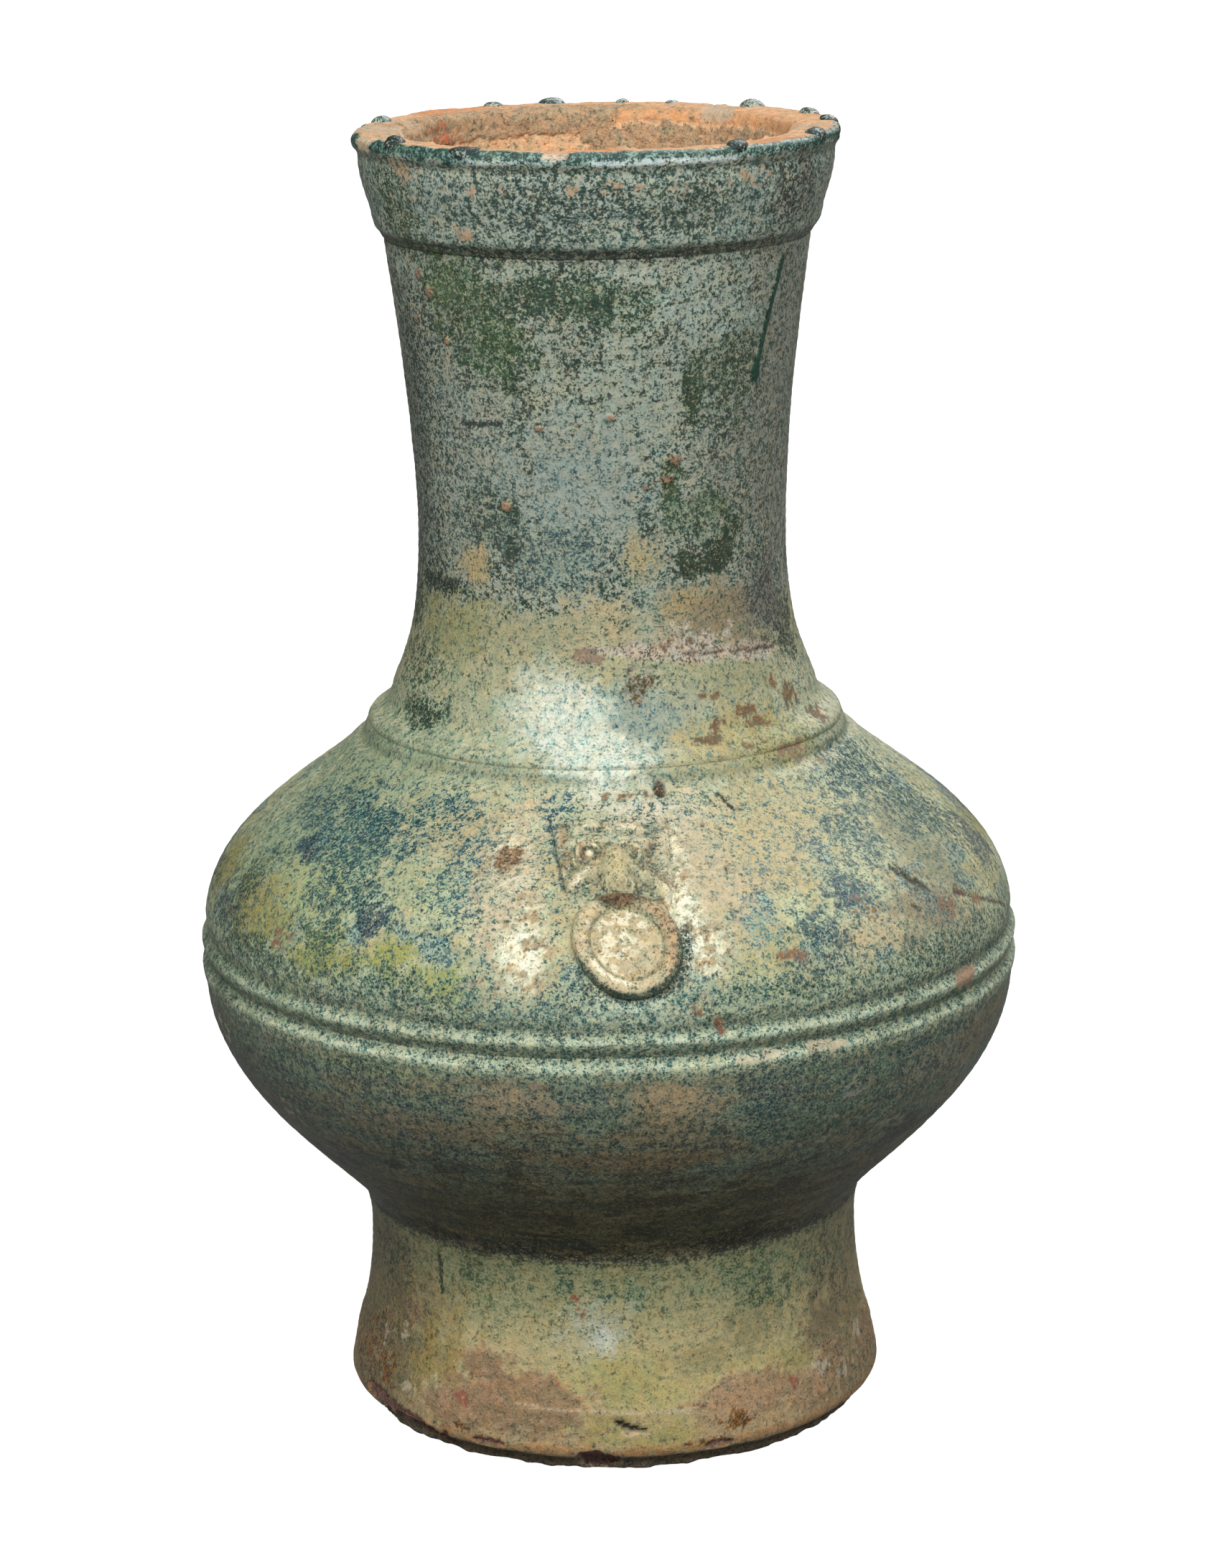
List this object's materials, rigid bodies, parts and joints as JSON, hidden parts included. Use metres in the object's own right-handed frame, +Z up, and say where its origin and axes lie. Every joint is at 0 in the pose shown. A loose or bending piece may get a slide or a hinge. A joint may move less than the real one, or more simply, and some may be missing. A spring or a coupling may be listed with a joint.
{
  "type": "hu vase",
  "caption": "Footed earthenware storage jar with a bulging ribbed belly, waisted neck, flared collar and moulded mask-and-ring ornaments.",
  "frame": {"origin": "centre of the foot's underside, on the surface the jar stands on", "axes": "+Z up along the jar's axis; the front mask faces -Y; +X to the viewer's right"},
  "size_m": [0.2538, 0.254, 0.4026],
  "materials": {
    "foot_glaze": "weathered lead glaze, olive to tan, over buff clay",
    "belly_glaze": "weathered green lead glaze with fine crackle",
    "shoulder_glaze": "weathered olive-yellow and green lead glaze with silvery sheen",
    "neck_glaze": "mottled green lead glaze",
    "rim_glaze": "dark glossy green glaze outside, bare clay on the rim and inside",
    "sprig_glaze": "weathered pale green glaze on moulded relief",
    "bead_glaze": "glossy pooled glaze, pale to dark green"
  },
  "bodies": {
    "root": {"foot_ring": "foot_glaze", "lower_belly": "belly_glaze", "upper_belly": "shoulder_glaze", "neck": "neck_glaze", "mouth_collar": "rim_glaze", "mask_ring_front": "sprig_glaze", "mask_ring_back": "sprig_glaze", "rim_glaze_bead_01": "bead_glaze", "rim_glaze_bead_02": "bead_glaze", "rim_glaze_bead_03": "bead_glaze", "rim_glaze_bead_04": "bead_glaze", "rim_glaze_bead_05": "bead_glaze", "rim_glaze_bead_06": "bead_glaze", "rim_glaze_bead_07": "bead_glaze", "rim_glaze_bead_08": "bead_glaze", "rim_glaze_bead_09": "bead_glaze", "rim_glaze_bead_10": "bead_glaze", "rim_glaze_bead_11": "bead_glaze", "rim_glaze_bead_12": "bead_glaze"}
  },
  "joints": []
}
